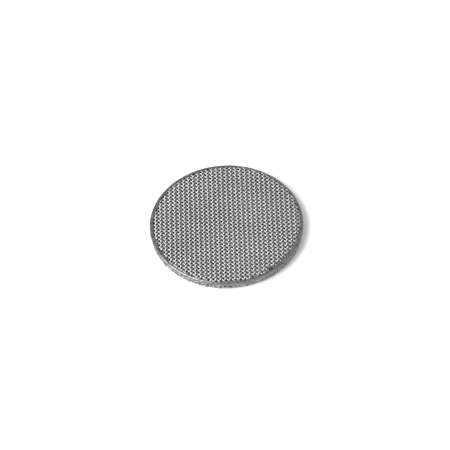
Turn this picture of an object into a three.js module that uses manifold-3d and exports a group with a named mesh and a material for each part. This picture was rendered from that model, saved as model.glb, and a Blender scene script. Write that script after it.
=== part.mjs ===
// Burner gauze pack: a stack of five round wire gauzes, pressed and welded into one flat disc.
// Units are millimetres, +Z is up and the origin is the centre of the underside.
// From the bottom up the stack is a back gauze, a fine gauze, a core gauze, a fine gauze and a
// face gauze. Each gauze is two families of parallel wires, a weft below and a warp above, and
// each family is tied at its edge by a strip where the wires are pressed together.
// The face gauze and the fine gauze under it sit inside a pressed rim with a rolled top edge.
import * as THREE from "three";
import { mergeGeometries, mergeVertices } from "three/addons/utils/BufferGeometryUtils.js";
import Module from "manifold-3d";

// Whole pack
const PACK_DIAMETER = 90;
const SEAT_GAP = 0.02; // between one wire family and the next
const ROUND_STEPS = 44; // flats round a full circle

// Gauzes: wire thickness, distance between wires, turn of the weave in the stack, sides of a
// wire's section, and thickness of the edge strip as a share of the wire's
const FACE = { wire: 0.9, pitch: 2, turn: 0, sides: 6, stripShare: 0.9 };
const CORE = { wire: 0.65, pitch: 2, turn: 45, sides: 4, stripShare: 1 };
const BACK = { wire: 0.7, pitch: 2, turn: 0, sides: 4, stripShare: 0.4 };
const FINE = { wire: 0.2, pitch: 1.6, turn: 30, sides: 4, stripShare: 1 };

// Edge strip that ties the wires of one family together
const STRIP_WIDTH = 0.8;
const STRIP_LIFT = 0.1; // above the underside of the wires, where their raw ends pass it
const WIRE_END_REACH = 1.2; // raw wire ends past the strip, on the open edge of the pack

// Pressed rim
const RIM_WIDTH = 1.6;
const RIM_CLEARANCE = 0.05; // to the gauzes inside it
const RIM_DROP = 0.15; // top of the rim below the top of the face wires
const ROLL_RADIUS = 0.9;
const ROLL_STEPS = 4;

// Tack weld that shows on the face, on the inner edge of the rim
const WELD_DIAMETER = 2.6;
const WELD_DEPTH = 0.45;
const WELD_SINK = 0.05; // below the top of the face wires
const WELD_INSET = 2; // from the outer edge to the centre of the weld
const WELD_ANGLE = -12; // degrees from +X
const WELD_CLEARANCE = 0.04;
const WELD_STEPS = 20;

const DEGREE = Math.PI / 180;
const PACK_RADIUS = PACK_DIAMETER / 2;
const RIM_INNER_RADIUS = PACK_RADIUS - RIM_WIDTH;
const WEFT_TURN = 0;
const WARP_TURN = 90;

const wasm = await Module();
wasm.setup();

/** A closed geometry as a solid that can be joined and cut. */
function solidFrom(geometry) {
  const bare = geometry.clone();
  bare.deleteAttribute("normal");
  bare.deleteAttribute("uv");
  const merged = mergeVertices(bare, 1e-5);
  return new wasm.Manifold(
    new wasm.Mesh({
      numProp: 3,
      vertProperties: merged.attributes.position.array,
      triVerts: new Uint32Array(merged.index.array),
    }),
  );
}

/** A solid back as a geometry with flat faces. */
function geometryFrom(solid) {
  const mesh = solid.getMesh();
  const shared = new THREE.BufferGeometry();
  shared.setAttribute("position", new THREE.BufferAttribute(mesh.vertProperties, 3));
  shared.setIndex(new THREE.BufferAttribute(mesh.triVerts, 1));
  const flat = shared.toNonIndexed();
  flat.computeVertexNormals();
  return flat;
}

/** A closed profile of [radius, z] points turned round the Z axis. */
function turnedRing(points) {
  const profile = [...points, points[0]].map(([radius, z]) => new THREE.Vector2(radius, z));
  return new THREE.LatheGeometry(profile, ROUND_STEPS).rotateX(Math.PI / 2);
}

/** A flat round plate between two heights. */
function roundPlate(radius, bottom, top, steps = ROUND_STEPS) {
  return new THREE.CylinderGeometry(radius, radius, top - bottom, steps)
    .rotateX(Math.PI / 2)
    .translate(0, 0, (bottom + top) / 2);
}

/** One straight wire along X, centred on the origin, with a flat on its top and its bottom. */
function straightWire(thickness, sides, length) {
  const section = new THREE.Shape();
  const corner = thickness / 2 / Math.cos(Math.PI / sides);
  for (let i = 0; i < sides; i += 1) {
    const angle = ((i + 0.5) * 2 * Math.PI) / sides;
    const place = i === 0 ? "moveTo" : "lineTo";
    section[place](corner * Math.cos(angle), corner * Math.sin(angle));
  }
  section.closePath();
  return new THREE.ExtrudeGeometry(section, { depth: length, bevelEnabled: false })
    .translate(0, 0, -length / 2)
    .rotateY(Math.PI / 2);
}

/** The wires of one family side by side, as many as fit inside the edge strip, before the cut. */
function wireRow({ wire, pitch, sides }, { wireRadius, stripRadius }) {
  const count = Math.floor((2 * (stripRadius - STRIP_WIDTH - wire)) / pitch) + 1;
  const wires = [];
  for (let i = 0; i < count; i += 1) {
    const offset = (i - (count - 1) / 2) * pitch;
    const length = 2 * (wireRadius + wire);
    wires.push(straightWire(wire, sides, length).translate(0, offset, wire / 2));
  }
  return mergeGeometries(wires);
}

/** One family of wires from its underside at z = 0, cut round and tied by its edge strip. */
function wireFamily(gauze, turn, edge) {
  const { wireRadius, stripRadius, stripLift } = edge;
  const row = solidFrom(wireRow(gauze, edge)).rotate([0, 0, gauze.turn + turn]);
  const round = solidFrom(roundPlate(wireRadius, -gauze.wire, 2 * gauze.wire));
  const stripTop = stripLift + gauze.wire * gauze.stripShare;
  const strip = turnedRing([
    [stripRadius - STRIP_WIDTH, stripLift],
    [stripRadius, stripLift],
    [stripRadius, stripTop],
    [stripRadius - STRIP_WIDTH, stripTop],
  ]);
  return row.intersect(round).add(solidFrom(strip));
}

/** An edge where the wires end inside their strip. */
function closedEdge(stripRadius) {
  return { wireRadius: stripRadius - STRIP_WIDTH / 2, stripRadius, stripLift: 0 };
}

/** An edge where the raw wire ends run past their strip to the outside of the pack. */
function openEdge(stripLift) {
  return { wireRadius: PACK_RADIUS, stripRadius: PACK_RADIUS - WIRE_END_REACH, stripLift };
}

const insideRadius = RIM_INNER_RADIUS - RIM_CLEARANCE;

// The stack from the bottom up
const STACK = [
  { name: "back_weft", gauze: BACK, turn: WEFT_TURN, edge: openEdge(0) },
  { name: "back_warp", gauze: BACK, turn: WARP_TURN, edge: openEdge(STRIP_LIFT) },
  { name: "lower_fine_weft", gauze: FINE, turn: WEFT_TURN, edge: closedEdge(PACK_RADIUS) },
  { name: "lower_fine_warp", gauze: FINE, turn: WARP_TURN, edge: closedEdge(PACK_RADIUS) },
  { name: "core_weft", gauze: CORE, turn: WEFT_TURN, edge: closedEdge(PACK_RADIUS) },
  { name: "core_warp", gauze: CORE, turn: WARP_TURN, edge: closedEdge(PACK_RADIUS) },
  { name: "upper_fine_weft", gauze: FINE, turn: WEFT_TURN, edge: closedEdge(insideRadius) },
  { name: "upper_fine_warp", gauze: FINE, turn: WARP_TURN, edge: closedEdge(insideRadius) },
  { name: "face_weft", gauze: FACE, turn: WEFT_TURN, edge: closedEdge(insideRadius) },
  { name: "face_warp", gauze: FACE, turn: WARP_TURN, edge: closedEdge(insideRadius) },
];
const FIRST_INSIDE_RIM = "upper_fine_weft";

/** Each family of the stack with the heights of its underside and its top. */
function stackFamilies() {
  let height = 0;
  return STACK.map((family) => {
    const bottom = height;
    const top = bottom + family.gauze.wire;
    height = top + SEAT_GAP;
    return { ...family, bottom, top };
  });
}

const families = stackFamilies();
const packTop = families.at(-1).top;
const rimBottom = families.find(({ name }) => name === FIRST_INSIDE_RIM).bottom;
const rimTop = packTop - RIM_DROP;
const weldTop = packTop - WELD_SINK;
const weldBottom = weldTop - WELD_DEPTH;

/** The pressed rim, a ring whose outer top edge is rolled over. */
function rimSolid() {
  const points = [
    [RIM_INNER_RADIUS, rimBottom],
    [PACK_RADIUS, rimBottom],
  ];
  for (let i = 0; i <= ROLL_STEPS; i += 1) {
    const angle = (i / ROLL_STEPS) * (Math.PI / 2);
    points.push([
      PACK_RADIUS - ROLL_RADIUS + ROLL_RADIUS * Math.cos(angle),
      rimTop - ROLL_RADIUS + ROLL_RADIUS * Math.sin(angle),
    ]);
  }
  points.push([RIM_INNER_RADIUS, rimTop]);
  return solidFrom(turnedRing(points));
}

/** A round plug standing at the weld. */
function plugAtWeld(diameter, bottom, top) {
  const reach = PACK_RADIUS - WELD_INSET;
  const x = reach * Math.cos(WELD_ANGLE * DEGREE);
  const y = reach * Math.sin(WELD_ANGLE * DEGREE);
  const plug = roundPlate(diameter / 2, bottom, top, WELD_STEPS).translate(x, y, 0);
  return solidFrom(plug);
}

/** The face wires or the rim with the pocket that the weld lies in. */
function withWeldPocket(solid) {
  const width = WELD_DIAMETER + 2 * WELD_CLEARANCE;
  return solid.subtract(plugAtWeld(width, weldBottom - WELD_CLEARANCE, packTop + 1));
}

const steel = new THREE.MeshStandardMaterial({ color: 0x9c9c9a, roughness: 0.38, metalness: 1 });
const fineSteel = new THREE.MeshStandardMaterial({ color: 0x7e7e7c, roughness: 0.5, metalness: 1 });
const pressedSteel = new THREE.MeshStandardMaterial({ color: 0x747472, roughness: 0.42, metalness: 1 });
const weldSteel = new THREE.MeshStandardMaterial({ color: 0x585856, roughness: 0.5, metalness: 1 });

const burnerGauzePack = new THREE.Group();

/** Adds one named piece to the pack. */
function addPiece(name, solid, material) {
  const mesh = new THREE.Mesh(geometryFrom(solid), material);
  mesh.name = name;
  burnerGauzePack.add(mesh);
}

for (const { name, gauze, turn, edge, bottom, top } of families) {
  const solid = wireFamily(gauze, turn, edge).translate([0, 0, bottom]);
  const meetsWeld = top > weldBottom;
  addPiece(name, meetsWeld ? withWeldPocket(solid) : solid, gauze === FINE ? fineSteel : steel);
}
addPiece("pressed_rim", withWeldPocket(rimSolid()), pressedSteel);
addPiece("tack_weld", plugAtWeld(WELD_DIAMETER, weldBottom, weldTop), weldSteel);

export default burnerGauzePack;
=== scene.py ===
"""Looks of a burner gauze pack: five woven wire gauzes pressed into one round disc.

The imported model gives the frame. Every wire family, the pressed rim and the tack weld are
modelled here in metres, in the same frame, and stand for the CAD nodes of the same names.
"""

import logging
import math
import random
from dataclasses import dataclass, field
from enum import Enum

import bmesh
import bpy
from mathutils import Matrix, Vector, noise


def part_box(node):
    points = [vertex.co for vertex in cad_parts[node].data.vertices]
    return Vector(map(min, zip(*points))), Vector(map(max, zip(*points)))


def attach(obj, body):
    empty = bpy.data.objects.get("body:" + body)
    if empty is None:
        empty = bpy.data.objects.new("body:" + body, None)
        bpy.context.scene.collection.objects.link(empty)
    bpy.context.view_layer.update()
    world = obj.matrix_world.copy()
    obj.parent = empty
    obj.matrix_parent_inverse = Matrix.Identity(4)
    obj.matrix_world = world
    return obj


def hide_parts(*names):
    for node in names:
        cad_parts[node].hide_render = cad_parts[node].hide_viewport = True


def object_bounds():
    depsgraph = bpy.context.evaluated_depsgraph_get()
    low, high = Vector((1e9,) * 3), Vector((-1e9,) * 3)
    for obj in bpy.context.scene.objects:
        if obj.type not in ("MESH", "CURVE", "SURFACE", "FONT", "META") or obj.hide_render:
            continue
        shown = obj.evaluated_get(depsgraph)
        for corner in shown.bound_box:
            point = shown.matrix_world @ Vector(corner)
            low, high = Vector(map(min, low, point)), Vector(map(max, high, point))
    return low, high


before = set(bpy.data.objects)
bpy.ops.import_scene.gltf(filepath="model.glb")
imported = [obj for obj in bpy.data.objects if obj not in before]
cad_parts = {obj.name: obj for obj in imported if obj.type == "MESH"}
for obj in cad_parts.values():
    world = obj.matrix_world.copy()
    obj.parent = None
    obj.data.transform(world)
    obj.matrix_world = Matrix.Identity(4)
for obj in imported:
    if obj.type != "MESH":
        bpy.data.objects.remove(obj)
cad_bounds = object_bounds()

MM = 0.001
SAME_PLACE = 0.001 * MM
CUT_TOLERANCE = 1e-7
BODY = "root"
log = logging.getLogger("burner_gauze_pack")

Feed = bpy.types.NodeSocket | float | tuple[float, ...]
Span = tuple[Feed, Feed]


class Run(Enum):
    """The way that the wires of one family run, as a turn about Z in degrees."""

    WEFT = 0
    WARP = 90

    @property
    def turn(self) -> int:
        """The turn from +X, in degrees."""
        return self.value

    @property
    def other(self) -> "Run":
        """The family that crosses this one."""
        return Run.WARP if self is Run.WEFT else Run.WEFT


class Slot(Enum):
    """The record's material slots."""

    FACE = "face_wire"
    CORE = "core_wire"
    BACK = "back_wire"
    FINE = "fine_wire"
    RIM = "rim"
    WELD = "weld"


def smooth_step(low: float, high: float, value: float) -> float:
    """Eases from 0 at low to 1 at high.

    Args:
        low: Where the rise starts.
        high: Where the rise ends.
        value: The value to place between them.

    Returns:
        The eased share, from 0 to 1.
    """
    share = min(max((value - low) / (high - low), 0.0), 1.0)
    return share * share * (3.0 - 2.0 * share)


def periodic(stops: list[tuple[float, float]], degrees: float) -> float:
    """Reads a value that eases from stop to stop round a full circle.

    Args:
        stops: Pairs of an angle in degrees, rising from 0, and the value there.
        degrees: The angle to read at.

    Returns:
        The eased value.
    """
    turned = degrees % 360.0
    closed = [*stops, (stops[0][0] + 360.0, stops[0][1])]
    if turned < closed[0][0]:
        turned += 360.0
    for (start, low), (end, high) in zip(closed, closed[1:]):
        if turned <= end:
            return low + (high - low) * smooth_step(start, end, turned)
    return closed[-1][1]


def object_from(bm: bmesh.types.BMesh, name: str) -> bpy.types.Object:
    """Puts a finished bmesh into the scene as one smooth-shaded object.

    Args:
        bm: The shape, which is freed here.
        name: The piece's name.

    Returns:
        The new object, at the origin.
    """
    for face in bm.faces:
        face.smooth = True
    mesh = bpy.data.meshes.new(name)
    bm.to_mesh(mesh)
    bm.free()
    piece = bpy.data.objects.new(name, mesh)
    bpy.context.scene.collection.objects.link(piece)
    return piece


def move_into(whole: bmesh.types.BMesh, part: bmesh.types.BMesh) -> None:
    """Adds a shape to a larger one and frees it.

    Args:
        whole: The larger shape.
        part: The shape to add, which is freed here.
    """
    mesh = bpy.data.meshes.new("part")
    part.to_mesh(mesh)
    part.free()
    whole.from_mesh(mesh)
    bpy.data.meshes.remove(mesh)


def hand_over(
    piece: bpy.types.Object, node: str, finish: bpy.types.Material
) -> None:
    """Dresses a piece, puts it on the pack's body and hides the CAD node that it stands for.

    Args:
        piece: The finished piece.
        node: The CAD node that it replaces.
        finish: The material that it wears.
    """
    piece.data.materials.append(finish)
    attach(piece, BODY)
    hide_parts(node)
    log.info("%s: %d faces", piece.name, len(piece.data.polygons))


@dataclass(frozen=True)
class Pack:
    """Sizes of the whole pack, read from the frame.

    Attributes:
        radius: Outer radius.
        top: Height of the face wires' pressed knuckles.
    """

    radius: float = (cad_bounds[1].x - cad_bounds[0].x) / 2
    top: float = cad_bounds[1].z


@dataclass(frozen=True)
class BorderBand:
    """The band where the face gauze is pressed solid, which is wider in some places than others.

    Attributes:
        radius: Outer radius of the pack.
        widths: Angle in degrees from +X and the width of the band there.
        fade: Distance over which the wires sink into the band.
        overlap: How far the wires still rise over the band's flat.
    """

    radius: float
    widths: tuple[tuple[float, float], ...] = (
        (10.0, 2.1 * MM),
        (30.0, 1.9 * MM),
        (50.0, 1.2 * MM),
        (85.0, 0.9 * MM),
        (125.0, 0.75 * MM),
        (150.0, 1.3 * MM),
        (180.0, 1.6 * MM),
        (215.0, 1.9 * MM),
        (245.0, 1.8 * MM),
        (270.0, 1.3 * MM),
        (295.0, 1.0 * MM),
        (335.0, 1.4 * MM),
    )
    fade: float = 2.6 * MM
    overlap: float = 0.2 * MM

    def inner_radius(self, degrees: float) -> float:
        """The radius where the band's flat begins at an angle."""
        return self.radius - periodic(list(self.widths), degrees)

    def sink(self, x: float, y: float) -> float:
        """How far a wire is pressed into the band at a place, from 0 to 1."""
        inner = self.inner_radius(math.degrees(math.atan2(y, x)))
        return smooth_step(inner - self.fade, inner + self.overlap, math.hypot(x, y))


@dataclass
class WovenGauze:
    """One plain-woven gauze: a weft and a warp family that pass over and under each other.

    Attributes:
        name: Name of the gauze, which its two pieces and CAD nodes share.
        slot: The record's material slot.
        wire_radius: Radius of a wire before it is pressed.
        weft_pitch: Distance between neighbouring weft wires.
        warp_pitch: Distance between neighbouring warp wires.
        turn: Turn of the weave in the stack, in degrees.
        end_radius: Radius in plan where the wires end.
        sides: Sides of a wire's section.
        steps: Lengths that a wire has between two crossings.
        warp_crimp: Share of the weave's bending that the warp takes, where the weft takes the rest.
        ragged: How far the wire ends differ in length.
        wander: How far a wire strays sideways from its line.
        bow: Length over which a wire's stray swings once, divided by 2 pi.
        sunk: Share of the gauze's height that the border band takes away.
        band: The pressed band that the wires run into, if there is one.
        seed: Seed of the small differences between the wires.
    """

    name: str
    slot: Slot
    wire_radius: float
    weft_pitch: float
    warp_pitch: float
    turn: float
    end_radius: float
    sides: int = 8
    steps: int = 4
    warp_crimp: float = 0.5
    ragged: float = 0.0
    wander: float = 0.03 * MM
    bow: float = 15.0 * MM
    sunk: float = 0.42
    band: BorderBand | None = None
    seed: int = 1
    bottom: float = field(init=False)
    top: float = field(init=False)

    def __post_init__(self) -> None:
        """Reads the heights that the gauze fills from its two CAD nodes."""
        self.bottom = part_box(f"{self.name}_weft")[0].z
        self.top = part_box(f"{self.name}_warp")[1].z

    @property
    def middle(self) -> float:
        """Height of the weave's middle."""
        return (self.bottom + self.top) / 2

    def crimp(self, run: Run) -> float:
        """How far the centre of a family's wires rises and falls from the middle."""
        share = self.warp_crimp if run is Run.WARP else 1.0 - self.warp_crimp
        return share * (self.top - self.bottom) / 2

    def spacing(self, run: Run) -> float:
        """Distance between neighbouring wires of a family."""
        return self.weft_pitch if run is Run.WEFT else self.warp_pitch

    def count(self, run: Run) -> int:
        """Number of wires in a family."""
        return int(2 * (self.end_radius - self.wire_radius) / self.spacing(run)) + 1

    def offset(self, run: Run, index: float) -> float:
        """Distance of a wire from the middle of its family."""
        return (index - (self.count(run) - 1) / 2) * self.spacing(run)

    def first_over(self, run: Run) -> float:
        """1 if a family's first wire starts over the crossing family's first wire, -1 if under.

        The warp is laid by a quarter turn, which counts the weft's crossings from the other end.
        """
        if run is Run.WARP:
            return 1.0
        return -1.0 if self.count(Run.WARP) % 2 else 1.0

    def wave(self, run: Run, along: float) -> tuple[float, float]:
        """The centre line of a wire that passes over the wire at the family's first crossing.

        Args:
            run: The way that the wire runs.
            along: Distance along the wire from the middle of its run.

        Returns:
            The height above the weave's middle, and the slope there in radians.
        """
        pitch = self.spacing(run.other)
        crossing = math.pi * (along / pitch + (self.count(run.other) - 1) / 2)
        height = self.crimp(run) * math.cos(crossing)
        slope = -self.crimp(run) * math.pi / pitch * math.sin(crossing)
        return height, math.atan(slope)

    def straight_wire(self, run: Run) -> bmesh.types.BMesh:
        """Makes one straight tube along X, longer than the widest wire, ready to be crimped."""
        cells = self.count(run.other) + 1
        length = cells * self.spacing(run.other)
        bm = bmesh.new()
        bmesh.ops.create_cone(
            bm,
            cap_ends=False,
            segments=self.sides,
            radius1=self.wire_radius,
            radius2=self.wire_radius,
            depth=length,
        )
        bmesh.ops.rotate(bm, verts=bm.verts, matrix=Matrix.Rotation(math.pi / self.sides, 3, "Z"))
        along = [edge for edge in bm.edges if edge.calc_length() > length / 2]
        bmesh.ops.subdivide_edges(bm, edges=along, cuts=cells * self.steps - 1, use_grid_fill=True)
        bmesh.ops.rotate(bm, verts=bm.verts, matrix=Matrix.Rotation(math.pi / 2, 3, "Y"))
        return bm

    def crimped(self, straight: bmesh.types.BMesh, run: Run, over: float) -> bmesh.types.BMesh:
        """Copies the straight tube and bends it over and under the crossing wires.

        Args:
            straight: The straight tube.
            run: The way that the wire runs.
            over: 1 if the wire passes over at the first crossing, -1 if it passes under.

        Returns:
            The bent tube.
        """
        bm = straight.copy()
        for vert in bm.verts:
            height, slope = self.wave(run, vert.co.x)
            rise = vert.co.z
            vert.co.x -= rise * math.sin(over * slope)
            vert.co.z = over * height + rise * math.cos(slope)
        return bm

    def cut_end(self, bm: bmesh.types.BMesh, side: float, offset: float, reach: float) -> None:
        """Cuts one end of a wire to the round outline and closes it.

        Args:
            bm: The wire, along X.
            side: 1 for the end towards +X, -1 for the other.
            offset: The wire's distance from the middle of its family.
            reach: Radius in plan where this wire ends.
        """
        shortest = self.wire_radius
        half = math.sqrt(max(reach * reach - offset * offset, shortest * shortest))
        cut = bmesh.ops.bisect_plane(
            bm,
            geom=[*bm.verts, *bm.edges, *bm.faces],
            dist=CUT_TOLERANCE,
            plane_co=(side * half, 0, 0),
            plane_no=Vector((side * half, offset, 0)).normalized(),
            clear_outer=True,
        )
        rim = [part for part in cut["geom_cut"] if isinstance(part, bmesh.types.BMEdge)]
        bmesh.ops.edgeloop_fill(bm, edges=rim)

    def stray(self, wire: bmesh.types.BMesh, offset: float, draw: random.Random) -> None:
        """Moves a wire to its place in the family, with a slight bow and shift of its own.

        Args:
            wire: The wire, along X.
            offset: The wire's distance from the middle of its family.
            draw: Source of the small differences.
        """
        shift = offset + draw.uniform(-self.wander, self.wander)
        swing = draw.uniform(-self.wander, self.wander)
        phase = draw.uniform(0.0, 2 * math.pi)
        for vert in wire.verts:
            vert.co.y += shift + swing * math.sin(vert.co.x / self.bow + phase)

    def press(self, wires: bmesh.types.BMesh) -> None:
        """Presses the knuckles flat and sinks the wires into the border band.

        Args:
            wires: All the wires of a family, in place in plan and centred on height 0.
        """
        flat = (self.top - self.bottom) / 2
        for vert in wires.verts:
            height = min(max(vert.co.z, -flat), flat)
            if self.band:
                kept = 1.0 - self.sunk * self.band.sink(vert.co.x, vert.co.y)
                height = (height + flat) * kept - flat
            vert.co.z = self.middle + height

    def family(self, run: Run) -> bpy.types.Object:
        """Makes all the wires of one family as one piece.

        Args:
            run: The way that the wires run.

        Returns:
            The piece, in place.
        """
        draw = random.Random(self.seed + run.turn)
        straight = self.straight_wire(run)
        bent = {over: self.crimped(straight, run, over) for over in (1.0, -1.0)}
        straight.free()
        wires = bmesh.new()
        for index in range(self.count(run)):
            over = self.first_over(run) * (1.0 if index % 2 == 0 else -1.0)
            wire = bent[over].copy()
            offset = self.offset(run, index)
            for side in (-1.0, 1.0):
                self.cut_end(wire, side, offset, self.end_radius - draw.uniform(0.0, self.ragged))
            self.stray(wire, offset, draw)
            move_into(wires, wire)
        for tube in bent.values():
            tube.free()
        turned = Matrix.Rotation(math.radians(self.turn + run.turn), 4, "Z")
        bmesh.ops.transform(wires, matrix=turned, verts=wires.verts)
        self.press(wires)
        bmesh.ops.recalc_face_normals(wires, faces=wires.faces)
        return object_from(wires, f"{self.name}_{run.name.lower()}_wires")


@dataclass(frozen=True)
class Ripple:
    """The unevenness that a press leaves round an edge, as a sum of waves.

    Attributes:
        waves: Height, number round the circle and phase in radians of each wave.
    """

    waves: tuple[tuple[float, int, float], ...]

    def at(self, angle: float) -> float:
        """The height of the ripple at an angle in radians."""
        return sum(height * math.sin(count * angle + phase) for height, count, phase in self.waves)


def spun(section: list[tuple[float, float]], turns: int, closed: bool) -> bmesh.types.BMesh:
    """Turns a section round the Z axis into a whole ring or button.

    Args:
        section: Radius and height of each point.
        turns: Lengths round the circle.
        closed: Whether the last point joins the first.

    Returns:
        The turned shape.
    """
    bm = bmesh.new()
    verts = [bm.verts.new((radius, 0, height)) for radius, height in section]
    ends = [*verts[1:], verts[0]] if closed else verts[1:]
    for start, end in zip(verts, ends):
        bm.edges.new((start, end))
    bmesh.ops.spin(
        bm,
        geom=[*bm.verts, *bm.edges],
        cent=(0, 0, 0),
        axis=(0, 0, 1),
        angle=2 * math.pi,
        steps=turns,
        use_merge=True,
    )
    bmesh.ops.remove_doubles(bm, verts=bm.verts, dist=SAME_PLACE)
    return bm


@dataclass
class PressedRim:
    """The rim: the edge of the face gauze pressed solid, with its top edge rolled over.

    Attributes:
        pack: Sizes of the pack.
        band: The border band on the face.
        roll_radius: Radius of the rolled top edge.
        roll_steps: Lengths round the roll.
        turns: Lengths round the whole rim.
        flat: Width of the rim's top before the band widens or narrows it.
        fall: How far the top falls from its inner edge to the roll.
        lip: Distance in and drop of each point where the rim runs down under the wires.
        under: Width of the underside.
        foot: Distance in and height of the rounded lower edge.
        settle: How far the top is set down, to keep its ripple inside the pack.
        top_ripple: Unevenness of the top.
        foot_ripple: Unevenness of the lower edge.
    """

    pack: Pack
    band: BorderBand
    roll_radius: float = 0.75 * MM
    roll_steps: int = 7
    turns: int = 540
    flat: float = 2.2 * MM
    fall: float = 0.28 * MM
    lip: tuple[tuple[float, float], ...] = (
        (-0.2 * MM, 0.0),
        (0.1 * MM, 0.12 * MM),
        (0.3 * MM, 0.6 * MM),
        (0.5 * MM, 1.5 * MM),
    )
    under: float = 1.4 * MM
    foot: tuple[float, float] = (0.5 * MM, 0.45 * MM)
    settle: float = 0.07 * MM
    top_ripple: Ripple = Ripple(((0.04 * MM, 23, 0.0), (0.025 * MM, 61, 1.3)))
    foot_ripple: Ripple = Ripple(((0.1 * MM, 37, 0.0), (0.07 * MM, 83, 0.7), (0.06 * MM, 9, 2.0)))

    def section(self, low: float, high: float) -> list[tuple[float, float]]:
        """The section as inset from the outer edge and height, round a closed loop.

        Args:
            low: Height of the underside.
            high: Height of the top.

        Returns:
            The points of the section.
        """
        inset, lift = self.foot
        shoulder = high - self.fall - self.roll_radius
        waist = (low + lift + shoulder) / 2
        points = [(self.under, low), (inset, low), (0.0, low + lift), (0.0, waist)]
        for step in range(self.roll_steps + 1):
            angle = math.pi / 2 * step / self.roll_steps
            across = self.roll_radius * (1 - math.cos(angle))
            points.append((across, shoulder + self.roll_radius * math.sin(angle)))
        points += [(self.flat + further, high - drop) for further, drop in self.lip]
        return points

    def uneven(self, bm: bmesh.types.BMesh, low: float, high: float) -> None:
        """Widens and narrows the top of the spun ring, and ripples its edges.

        Args:
            bm: The ring.
            low: Height of the underside.
            high: Height of the top.
        """
        waist = (low + high) / 2
        foot_ripple_share = 1.0 / (waist - low)
        deepest = sum(height for height, _, _ in self.foot_ripple.waves)
        for vert in bm.verts:
            angle = math.atan2(vert.co.y, vert.co.x)
            degrees = math.degrees(angle)
            inset = self.pack.radius - math.hypot(vert.co.x, vert.co.y)
            wide = self.pack.radius - self.band.inner_radius(degrees)
            if vert.co.z > waist:
                if inset > self.roll_radius:
                    stretch = (wide - self.roll_radius) / (self.flat - self.roll_radius)
                    inset = self.roll_radius + (inset - self.roll_radius) * stretch
                vert.co.z += self.top_ripple.at(angle) - self.settle
            else:
                share = (waist - vert.co.z) * foot_ripple_share
                vert.co.z += share * (deepest + self.foot_ripple.at(angle))
            reach = self.pack.radius - inset
            vert.co.x = reach * math.cos(angle)
            vert.co.y = reach * math.sin(angle)

    def build(self) -> bpy.types.Object:
        """Spins the section round and gives the rim its uneven width and edges."""
        low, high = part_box("pressed_rim")
        section = [(self.pack.radius - inset, z) for inset, z in self.section(low.z, high.z)]
        bm = spun(section, self.turns, closed=True)
        self.uneven(bm, low.z, high.z)
        bmesh.ops.recalc_face_normals(bm, faces=bm.faces)
        return object_from(bm, "pressed_rim_band")


@dataclass
class PressedEdge:
    """The edge of the lower gauzes: their cut wires pressed into a rough, lumpy band.

    Attributes:
        pack: Sizes of the pack.
        inset: How far the band lies behind the pack's outer radius.
        width: Width of the band in plan.
        height: Height of its foot and of its top.
        levels: Lengths up the band's outer face.
        turns: Lengths round the band.
        lumps: Depth of the lumps and length over which each layer of them changes.
    """

    pack: Pack
    inset: float = 0.62 * MM
    width: float = 1.4 * MM
    height: tuple[float, float] = (0.25 * MM, 3.2 * MM)
    levels: int = 14
    turns: int = 1400
    lumps: tuple[tuple[float, float], ...] = ((0.5 * MM, 0.9 * MM), (0.25 * MM, 0.45 * MM))

    def lump(self, place: Vector) -> float:
        """How far the outer face stands out at a place."""
        return sum(depth * noise.noise(place / length) for depth, length in self.lumps)

    def build(self) -> bpy.types.Object:
        """Spins the band and presses the lumps into its outer face."""
        low, high = self.height
        outer = self.pack.radius - self.inset
        inner = outer - self.width
        rise = (high - low) / self.levels
        face = [(outer, low + rise * level) for level in range(self.levels + 1)]
        bm = spun([*face, (inner, high), (inner, low)], self.turns, closed=True)
        for vert in bm.verts:
            reach = math.hypot(vert.co.x, vert.co.y)
            if reach > (inner + outer) / 2:
                moved = min(reach + self.lump(vert.co), self.pack.radius) / reach
                vert.co.x *= moved
                vert.co.y *= moved
        bmesh.ops.recalc_face_normals(bm, faces=bm.faces)
        return object_from(bm, "pressed_edge_band")


@dataclass
class TackWeld:
    """The tack weld: a low fused button on the inner edge of the rim.

    Attributes:
        turns: Lengths round the button.
        stretch: Length of the button along the rim over its width.
        crown: How far its highest ring stands above its edge.
        edge: Height of the rounded edge.
        section: Share of the radius, and height from the edge (0) to the crown (1), of each ring.
        outline: Unevenness of the outline, as a share of the radius.
    """

    turns: int = 48
    stretch: float = 1.3
    crown: float = 0.16 * MM
    edge: float = 0.12 * MM
    section: tuple[tuple[float, float], ...] = (
        (0.0, 0.5),
        (0.25, 0.65),
        (0.45, 1.0),
        (0.7, 0.75),
        (0.9, 0.0),
    )
    outline: Ripple = Ripple(((0.05, 3, 0.0), (0.03, 7, 1.0)))

    def build(self) -> bpy.types.Object:
        """Spins the button's section, stretches it along the rim and sets it in its place."""
        low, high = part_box("tack_weld")
        centre = (low + high) / 2
        radius = (high.x - low.x) / 2
        foot = high.z - self.crown
        top = [(share * radius, foot + lift * self.crown) for share, lift in self.section]
        bm = spun(
            [*top, (radius, foot - self.edge), (radius, low.z), (0.0, low.z)],
            self.turns,
            closed=False,
        )
        for vert in bm.verts:
            uneven = 1.0 + self.outline.at(math.atan2(vert.co.y, vert.co.x))
            vert.co.x *= uneven
            vert.co.y *= uneven * self.stretch
        along_rim = Matrix.Rotation(math.atan2(centre.y, centre.x), 4, "Z")
        place = Matrix.Translation((centre.x, centre.y, 0)) @ along_rim
        bmesh.ops.transform(bm, matrix=place, verts=bm.verts)
        bmesh.ops.recalc_face_normals(bm, faces=bm.faces)
        return object_from(bm, "tack_weld_button")


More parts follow.
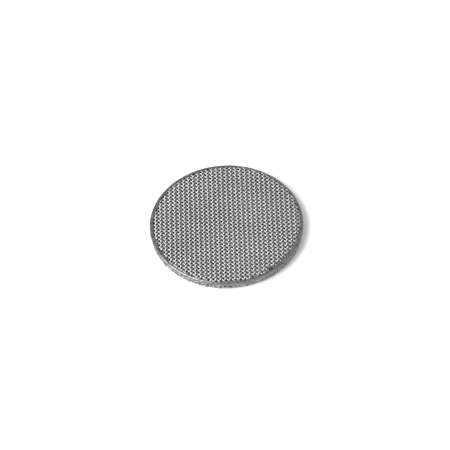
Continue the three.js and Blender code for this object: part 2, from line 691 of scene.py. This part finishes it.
class NodeSheet:
    """A node tree with short ways to add nodes and join them."""

    def __init__(self, tree: bpy.types.NodeTree) -> None:
        """Takes the tree to draw on."""
        self.tree = tree

    def add(self, kind: str, **settings: object) -> bpy.types.Node:
        """Adds a node.

        Args:
            kind: The node's type name.
            **settings: Properties to set on it.

        Returns:
            The node.
        """
        node = self.tree.nodes.new(kind)
        for name, value in settings.items():
            setattr(node, name, value)
        return node

    def feed(self, socket: bpy.types.NodeSocket, value: Feed) -> None:
        """Links an input to an output, or sets it to a constant."""
        if isinstance(value, bpy.types.NodeSocket):
            self.tree.links.new(value, socket)
        else:
            socket.default_value = value

    def math(self, operation: str, *values: Feed) -> bpy.types.NodeSocket:
        """Adds a Math node and returns its output."""
        node = self.add("ShaderNodeMath", operation=operation)
        for socket, value in zip(node.inputs, values):
            self.feed(socket, value)
        return node.outputs[0]

    def ramp(self, value: Feed, source: Span, target: Span) -> bpy.types.NodeSocket:
        """Maps a value from one span to another, held at their ends.

        Args:
            value: The value to map.
            source: The low and high ends that it comes from.
            target: The low and high ends that it goes to.

        Returns:
            The mapped value.
        """
        node = self.add("ShaderNodeMapRange")
        for socket, given in zip(node.inputs, (value, *source, *target)):
            self.feed(socket, given)
        return node.outputs["Result"]

    def noise(self, vector: Feed, scale: Feed, detail: float, roughness: float) -> Feed:
        """Adds a noise texture.

        Args:
            vector: Where the noise is read.
            scale: Its scale.
            detail: Number of finer layers.
            roughness: Strength of the finer layers.

        Returns:
            The noise's value.
        """
        node = self.add("ShaderNodeTexNoise")
        given = {"Vector": vector, "Scale": scale, "Detail": detail, "Roughness": roughness}
        for name, value in given.items():
            self.feed(node.inputs[name], value)
        return node.outputs["Fac"]

    def blend(self, share: Feed, first: Feed, second: Feed) -> bpy.types.NodeSocket:
        """Mixes two colours.

        Args:
            share: Share of the second colour.
            first: The first colour.
            second: The second colour.

        Returns:
            The mixed colour.
        """
        node = self.add("ShaderNodeMix", data_type="RGBA")
        ends = {socket.name: socket for socket in node.inputs if socket.type == "RGBA"}
        self.feed(node.inputs["Factor"], share)
        self.feed(ends["A"], first)
        self.feed(ends["B"], second)
        return next(socket for socket in node.outputs if socket.type == "RGBA")

    def effect(self, group: bpy.types.NodeTree, **values: Feed) -> bpy.types.NodeSocket:
        """Places a node group, feeds its inputs by name and returns its one output."""
        node = self.add("ShaderNodeGroup", node_tree=group)
        for name, value in values.items():
            self.feed(node.inputs[name], value)
        return node.outputs[0]


def grey(value: float) -> tuple[float, float, float, float]:
    """A neutral opaque colour of one linear value."""
    return (value, value, value, 1.0)


class Effects:
    """The surface effects that several finishes share, each a node group built once."""

    def __init__(self) -> None:
        """Builds every group."""
        self.drawn_grain = self.make_drawn_grain()
        self.tarnish = self.make_tarnish()
        self.height_wear = self.make_height_wear()
        self.scuffs = self.make_scuffs()

    def start(self, name: str, **defaults: float | None) -> tuple[NodeSheet, dict[str, Feed]]:
        """Starts a node group that puts out one mask.

        Args:
            name: The group's name.
            **defaults: Each input's name and number, or None where it takes a vector.

        Returns:
            The sheet to draw on, and the group's inputs by name.
        """
        tree = bpy.data.node_groups.new(name, "ShaderNodeTree")
        for label, default in defaults.items():
            kind = "NodeSocketVector" if default is None else "NodeSocketFloat"
            socket = tree.interface.new_socket(label, in_out="INPUT", socket_type=kind)
            if default is not None:
                socket.default_value = default
        tree.interface.new_socket("Mask", in_out="OUTPUT", socket_type="NodeSocketFloat")
        sheet = NodeSheet(tree)
        given = sheet.add("NodeGroupInput").outputs
        return sheet, {label: given[label] for label in defaults}

    def end(self, sheet: NodeSheet, mask: Feed) -> bpy.types.NodeTree:
        """Sends a mask out of a group and returns the group."""
        sheet.feed(sheet.add("NodeGroupOutput").inputs["Mask"], mask)
        return sheet.tree

    def make_drawn_grain(self) -> bpy.types.NodeTree:
        """Fine streaks along a drawn wire, from a place already stretched along it."""
        sheet, given = self.start("drawn_grain", Place=None, Contrast=1.0)
        streaks = sheet.noise(given["Place"], 1.0, detail=3.0, roughness=0.65)
        centred = sheet.math("SUBTRACT", streaks, 0.5)
        return self.end(sheet, sheet.math("MULTIPLY_ADD", centred, given["Contrast"], 0.5))

    def make_tarnish(self) -> bpy.types.NodeTree:
        """Large soft clouds with a finer mottle inside them, as uneven oxide gives."""
        sheet, given = self.start("tarnish", Place=None, Clouds=60.0, Mottle=900.0)
        clouds = sheet.noise(given["Place"], given["Clouds"], detail=2.0, roughness=0.5)
        mottle = sheet.noise(given["Place"], given["Mottle"], detail=3.0, roughness=0.6)
        both = sheet.math("MULTIPLY_ADD", mottle, 0.6, sheet.math("MULTIPLY", clouds, 0.7))
        return self.end(sheet, sheet.ramp(both, (0.42, 0.88), (0.0, 1.0)))

    def make_height_wear(self) -> bpy.types.NodeTree:
        """A patchy mask that rises with height, from the buried steel to the rubbed tops."""
        sheet, given = self.start("height_wear", Place=None, Low=0.0, High=1.0, Patches=700.0)
        split = sheet.add("ShaderNodeSeparateXYZ")
        sheet.feed(split.inputs[0], given["Place"])
        height = sheet.ramp(split.outputs["Z"], (given["Low"], given["High"]), (0.0, 1.0))
        patches = sheet.noise(given["Place"], given["Patches"], detail=2.0, roughness=0.5)
        kept = sheet.ramp(patches, (0.25, 0.6), (0.55, 1.0))
        return self.end(sheet, sheet.math("MULTIPLY", height, kept))

    def make_scuffs(self) -> bpy.types.NodeTree:
        """Short scratches and dents in steel that a press has smeared."""
        sheet, given = self.start("scuffs", Place=None, Scale=500.0)
        dents = sheet.noise(given["Place"], given["Scale"], detail=4.0, roughness=0.65)
        finer = sheet.math("MULTIPLY", given["Scale"], 4.0)
        marks = sheet.noise(given["Place"], finer, detail=2.0, roughness=0.5)
        return self.end(sheet, sheet.math("MULTIPLY_ADD", marks, 0.35, dents))


@dataclass(frozen=True)
class SteelGreys:
    """How light a steel is.

    Attributes:
        deep: Grey of the tarnished patches, which show only lower down in the weave, so that the wire
            is darker there.
        plain: Grey of the open wire.
        worn: Grey of the pressed and rubbed tops.
    """

    deep: float
    plain: float
    worn: float


@dataclass(frozen=True)
class WireFinish:
    """Drawn stainless wire: streaked along its run, darker and duller lower down in the weave, worn
    lighter and smoother on its knuckles.

    Attributes:
        name: The material's name.
        greys: How light the wire is.
        grain_turn: The way that the wires run, in degrees from +X.
        wear_from: Height where the wear starts.
        wear_to: Height where the wear is full.
        rough: Roughness of the duller wire.
        smooth: Roughness of the worn knuckles.
        streak: How far the drawn grain changes the roughness.
        grain: Length and width of a streak.
        relief: Depth of the grain.
    """

    name: str
    greys: SteelGreys
    grain_turn: float
    wear_from: float
    wear_to: float
    rough: float = 0.45
    smooth: float = 0.4
    streak: float = 0.16
    grain: tuple[float, float] = (2.5 * MM, 0.12 * MM)
    relief: float = 0.012 * MM

    def material(self, effects: Effects) -> bpy.types.Material:
        """Builds the material.

        Args:
            effects: The shared surface effects.

        Returns:
            The material.
        """
        material = bpy.data.materials.new(self.name)
        material.use_nodes = True
        sheet = NodeSheet(material.node_tree)
        shader = material.node_tree.nodes["Principled BSDF"]
        place = sheet.add("ShaderNodeTexCoord").outputs["Object"]
        length, width = self.grain
        along = sheet.add("ShaderNodeMapping", vector_type="TEXTURE")
        along.inputs["Rotation"].default_value = (0, 0, math.radians(self.grain_turn))
        along.inputs["Scale"].default_value = (length, width, width)
        sheet.feed(along.inputs["Vector"], place)

        grain = sheet.effect(effects.drawn_grain, Place=along.outputs["Vector"])
        tarnish = sheet.effect(effects.tarnish, Place=place)
        wear = sheet.effect(
            effects.height_wear, Place=place, Low=self.wear_from, High=self.wear_to
        )
        clouded = sheet.blend(tarnish, grey(self.greys.deep), grey(self.greys.plain))
        colour = sheet.blend(wear, clouded, grey(self.greys.worn))
        sheet.feed(shader.inputs["Base Color"], colour)
        dull = sheet.ramp(wear, (0.0, 1.0), (self.rough, self.smooth))
        least = sheet.math("SUBTRACT", dull, self.streak / 2)
        streaked = sheet.math("MULTIPLY_ADD", grain, self.streak, least)
        sheet.feed(shader.inputs["Roughness"], streaked)
        shader.inputs["Metallic"].default_value = 1.0
        bump = sheet.add("ShaderNodeBump")
        bump.inputs["Distance"].default_value = self.relief
        sheet.feed(bump.inputs["Height"], grain)
        sheet.feed(shader.inputs["Normal"], bump.outputs["Normal"])
        return material


@dataclass(frozen=True)
class PressedFinish:
    """Steel smeared smooth by a punch or an electrode: dented and scuffed, in greys given for each
    piece; on the rim its dark greys are a painted dark reflection, and on the edge band its
    near-black hollows are painted shade.

    Attributes:
        name: The material's name.
        greys: How light the steel is, from its hollows to its scuffs.
        rough: Roughness of the hollows.
        smooth: Roughness of the scuffs.
        dents: Scale of the dents.
        relief: Depth of the dents.
        raised: Values of the scuffs where the raised steel starts and is full.
    """

    name: str
    greys: SteelGreys
    rough: float = 0.5
    smooth: float = 0.4
    dents: float = 700.0
    relief: float = 0.08 * MM
    raised: tuple[float, float] = (0.5, 0.85)

    def material(self, effects: Effects) -> bpy.types.Material:
        """Builds the material.

        Args:
            effects: The shared surface effects.

        Returns:
            The material.
        """
        material = bpy.data.materials.new(self.name)
        material.use_nodes = True
        sheet = NodeSheet(material.node_tree)
        shader = material.node_tree.nodes["Principled BSDF"]
        place = sheet.add("ShaderNodeTexCoord").outputs["Object"]
        scuffs = sheet.effect(effects.scuffs, Place=place, Scale=self.dents)
        tarnish = sheet.effect(effects.tarnish, Place=place)
        raised = sheet.ramp(scuffs, self.raised, (0.0, 1.0))
        clouded = sheet.blend(tarnish, grey(self.greys.deep), grey(self.greys.plain))
        colour = sheet.blend(raised, clouded, grey(self.greys.worn))
        sheet.feed(shader.inputs["Base Color"], colour)
        roughness = sheet.ramp(raised, (0.0, 1.0), (self.rough, self.smooth))
        sheet.feed(shader.inputs["Roughness"], roughness)
        shader.inputs["Metallic"].default_value = 1.0
        bump = sheet.add("ShaderNodeBump")
        bump.inputs["Distance"].default_value = self.relief
        sheet.feed(bump.inputs["Height"], scuffs)
        sheet.feed(shader.inputs["Normal"], bump.outputs["Normal"])
        return material


def direction(azimuth: float, elevation: float) -> Vector:
    """The unit vector at an angle round from +X and an angle above the floor, in degrees."""
    around = math.radians(azimuth)
    lift = math.radians(elevation)
    flat = math.cos(lift)
    return Vector((math.cos(around) * flat, math.sin(around) * flat, math.sin(lift)))


@dataclass(frozen=True)
class Softbox:
    """One square soft light that hangs round the pack and faces it.

    Attributes:
        name: The light's name.
        azimuth: Its angle round the pack, in degrees from the camera's right, anticlockwise.
        elevation: Its angle above the floor, in degrees.
        distance: Its distance from the pack.
        size: Length of its side.
        power: Its power in watts.
    """

    name: str
    azimuth: float
    elevation: float
    distance: float
    size: float
    power: float

    def hang(self, camera_turn: float) -> None:
        """Makes the light and turns it to the pack.

        Args:
            camera_turn: The camera's azimuth, which the light's is measured from.
        """
        data = bpy.data.lights.new(self.name, "AREA")
        data.shape = "SQUARE"
        data.size = self.size
        data.energy = self.power
        light = bpy.data.objects.new(self.name, data)
        bpy.context.scene.collection.objects.link(light)
        outward = direction(camera_turn + self.azimuth, self.elevation)
        light.location = outward * self.distance
        light.rotation_euler = (-outward).to_track_quat("-Z", "Y").to_euler()


@dataclass
class Studio:
    """The pale floor, the soft lights and the camera.

    Attributes:
        pack: Sizes of the pack.
        softboxes: The lights.
        surroundings: Brightness of the even light from all round.
        azimuth: Angle of the camera round the pack, in degrees from -Y towards +X.
        elevation: Angle of the camera above the floor, in degrees.
        roll: Turn of the camera about its own line of sight, in degrees.
        lens: Focal length in millimetres.
        sensor: Width of the sensor in millimetres.
        share: Share of the picture's width that the pack fills.
        shift: How far the picture's middle lies off the pack's, as a share of its width.
        floor_size: Half the length of the floor's side.
        floor_drop: Gap between the pack and the floor.
    """

    pack: Pack
    softboxes: tuple[Softbox, ...] = (
        Softbox("key_softbox", azimuth=198.0, elevation=45.0, distance=0.9, size=0.6, power=10.5),
    )
    surroundings: float = 0.72
    azimuth: float = 44.2
    elevation: float = 50.6
    roll: float = 2.7
    lens: float = 186.0
    sensor: float = 36.0
    share: float = 0.3415
    shift: tuple[float, float] = (-0.0033, 0.001)
    floor_size: float = 2.0
    floor_drop: float = 0.02 * MM

    def place_camera(self) -> None:
        """Places the camera and makes it the scene's."""
        data = bpy.data.cameras.new("camera")
        data.lens = self.lens
        data.sensor_width = self.sensor
        data.clip_start = 0.01
        data.shift_x, data.shift_y = self.shift
        camera = bpy.data.objects.new("camera", data)
        bpy.context.scene.collection.objects.link(camera)
        distance = 2 * self.pack.radius / self.share * self.lens / self.sensor
        outward = direction(self.azimuth - 90.0, self.elevation)
        camera.location = Vector((0, 0, self.pack.top / 2)) + outward * distance
        look = (-outward).to_track_quat("-Z", "Y").to_matrix().to_4x4()
        rolled = look @ Matrix.Rotation(math.radians(-self.roll), 4, "Z")
        camera.rotation_euler = rolled.to_euler()
        bpy.context.scene.camera = camera

    def floor_finish(self) -> bpy.types.Material:
        """Builds the matt white of the floor, with the faint unevenness of paper."""
        material = bpy.data.materials.new("white_paper")
        material.use_nodes = True
        sheet = NodeSheet(material.node_tree)
        shader = material.node_tree.nodes["Principled BSDF"]
        place = sheet.add("ShaderNodeTexCoord").outputs["Object"]
        clouds = sheet.noise(place, 3.0, detail=2.0, roughness=0.5)
        sheet.feed(shader.inputs["Base Color"], sheet.blend(clouds, grey(0.9), grey(0.92)))
        shader.inputs["Roughness"].default_value = 0.9
        shader.inputs["Specular IOR Level"].default_value = 0.1
        return material

    def lay_floor(self) -> None:
        """Lays the plain white floor under the pack."""
        bm = bmesh.new()
        bmesh.ops.create_grid(bm, x_segments=2, y_segments=2, size=self.floor_size)
        bmesh.ops.translate(bm, verts=bm.verts, vec=(0, 0, -self.floor_drop))
        floor = object_from(bm, "floor")
        floor.data.materials.append(self.floor_finish())

    def light(self) -> None:
        """Lights the scene evenly from all round and hangs the softboxes."""
        world = bpy.data.worlds.new("studio")
        world.use_nodes = True
        background = world.node_tree.nodes["Background"]
        background.inputs["Color"].default_value = grey(1.0)
        background.inputs["Strength"].default_value = self.surroundings
        bpy.context.scene.world = world
        for softbox in self.softboxes:
            softbox.hang(self.azimuth)

    def set_up(self) -> None:
        """Sets the camera, the floor and the lights."""
        self.place_camera()
        self.lay_floor()
        self.light()
        bpy.context.scene.view_settings.view_transform = "Standard"


@dataclass
class GauzePack:
    """The whole pack: five gauzes from the bottom up, the pressed rim and the tack weld.

    Attributes:
        pack: Sizes of the pack.
        band: The border band on the face.
        coarse_pitch: Distance between the wires of the back and core gauzes.
        fine_pitch: Distance between the wires of the fine gauzes.
        fine_turn: Turn of the fine gauzes in the stack, in degrees.
        core_turn: Turn of the core gauze, in degrees.
        raw_edge_and_gap_shade_greys: How light the steel of the lower gauzes' pressed edge is; its
            hollows are painted near black as painted shade in the gaps between the cut wire ends.
        greys: How light the steel of each slot is; the fine gauzes' greys are painted near black as
            painted shade in the openings of the face weave, and the rim's greys are painted dark as a
            painted dark reflection.
    """

    pack: Pack
    band: BorderBand
    coarse_pitch: float = 2.0 * MM
    fine_pitch: float = 0.8 * MM
    fine_turn: float = 30.0
    core_turn: float = 45.0
    # Hollows painted near black: painted shade in the gaps between the cut wire ends; the raised
    # lumps keep the grey of the steel.
    raw_edge_and_gap_shade_greys: SteelGreys = SteelGreys(deep=0.02, plain=0.07, worn=0.55)
    greys: dict[Slot, SteelGreys] = field(
        default_factory=lambda: {
            Slot.FACE: SteelGreys(deep=0.31, plain=0.49, worn=0.5),
            Slot.CORE: SteelGreys(deep=0.3, plain=0.5, worn=0.7),
            Slot.BACK: SteelGreys(deep=0.3, plain=0.5, worn=0.7),
            # Fine gauze steel painted near black: painted shade in the openings of the face weave
            # above it.
            Slot.FINE: SteelGreys(deep=0.05, plain=0.1, worn=0.14),
            # Rim steel painted far darker than the face steel that it is pressed from: a painted dark
            # reflection of the smooth pressed band.
            Slot.RIM: SteelGreys(deep=0.07, plain=0.15, worn=0.3),
            Slot.WELD: SteelGreys(deep=0.03, plain=0.06, worn=0.12),
        }
    )

    def coarse(self, name: str, slot: Slot, turn: float, **sizes: float) -> WovenGauze:
        """Sizes the back or the core gauze, whose raw wire ends show at the pack's edge."""
        return WovenGauze(
            name=name,
            slot=slot,
            turn=turn,
            weft_pitch=self.coarse_pitch,
            warp_pitch=self.coarse_pitch,
            end_radius=self.pack.radius,
            **sizes,
        )

    def fine(self, name: str, end_radius: float, seed: int) -> WovenGauze:
        """Sizes one of the two fine gauzes."""
        return WovenGauze(
            name=name,
            slot=Slot.FINE,
            wire_radius=0.1 * MM,
            weft_pitch=self.fine_pitch,
            warp_pitch=self.fine_pitch,
            turn=self.fine_turn,
            end_radius=end_radius,
            sides=4,
            steps=2,
            seed=seed,
        )

    def face(self) -> WovenGauze:
        """Sizes the face gauze, whose warp bends more than its weft and stands out."""
        return WovenGauze(
            name="face",
            slot=Slot.FACE,
            wire_radius=0.475 * MM,
            weft_pitch=2.03 * MM,
            warp_pitch=1.95 * MM,
            turn=0.0,
            end_radius=self.pack.radius - 1.0 * MM,
            steps=6,
            warp_crimp=0.66,
            band=self.band,
            seed=11,
        )

    def gauzes(self) -> list[WovenGauze]:
        """The five gauzes from the bottom up."""
        inside_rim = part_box("upper_fine_weft")[1].x
        raw = 0.5 * MM
        return [
            self.coarse("back", Slot.BACK, 0.0, wire_radius=0.35 * MM, ragged=raw, seed=3),
            self.fine("lower_fine", self.pack.radius - 0.4 * MM, seed=5),
            self.coarse("core", Slot.CORE, self.core_turn, wire_radius=0.33 * MM, ragged=raw, seed=7),
            self.fine("upper_fine", inside_rim - 0.2 * MM, seed=9),
            self.face(),
        ]

    def weave(self, gauze: WovenGauze, effects: Effects) -> None:
        """Makes and dresses both wire families of a gauze.

        Args:
            gauze: The gauze.
            effects: The shared surface effects.
        """
        for run in Run:
            node = f"{gauze.name}_{run.name.lower()}"
            finish = WireFinish(
                name=f"{node}_steel",
                greys=self.greys[gauze.slot],
                grain_turn=gauze.turn + run.turn,
                wear_from=gauze.middle,
                wear_to=gauze.top,
            )
            hand_over(gauze.family(run), node, finish.material(effects))

    def build(self, effects: Effects) -> None:
        """Makes and dresses every piece of the pack.

        Args:
            effects: The shared surface effects.
        """
        for gauze in self.gauzes():
            self.weave(gauze, effects)
        # The edge band's near-black hollows are painted shade of the gaps between the cut wire ends.
        edge_steel = PressedFinish(
            "pressed_edge_steel",
            self.raw_edge_and_gap_shade_greys,
            dents=650.0,
            relief=0.2 * MM,
            raised=(0.58, 0.78),
        )
        edge = PressedEdge(self.pack)
        hand_over(edge.build(), "core_weft", edge_steel.material(effects))
        # The rim's dark greys paint the dark reflection of the smooth pressed band.
        rim_steel = PressedFinish(
            "pressed_rim_steel", self.greys[Slot.RIM], rough=0.4, smooth=0.28
        )
        rim = PressedRim(self.pack, self.band)
        hand_over(rim.build(), "pressed_rim", rim_steel.material(effects))
        weld_steel = PressedFinish(
            "fused_steel", self.greys[Slot.WELD], dents=900.0, relief=0.03 * MM
        )
        hand_over(TackWeld().build(), "tack_weld", weld_steel.material(effects))


def main() -> None:
    """Sets up the studio, then builds the pack."""
    logging.basicConfig(level=logging.INFO, format="%(name)s: %(message)s")
    pack = Pack()
    Studio(pack).set_up()
    GauzePack(pack, BorderBand(pack.radius)).build(Effects())


if __name__ == "__main__":
    main()
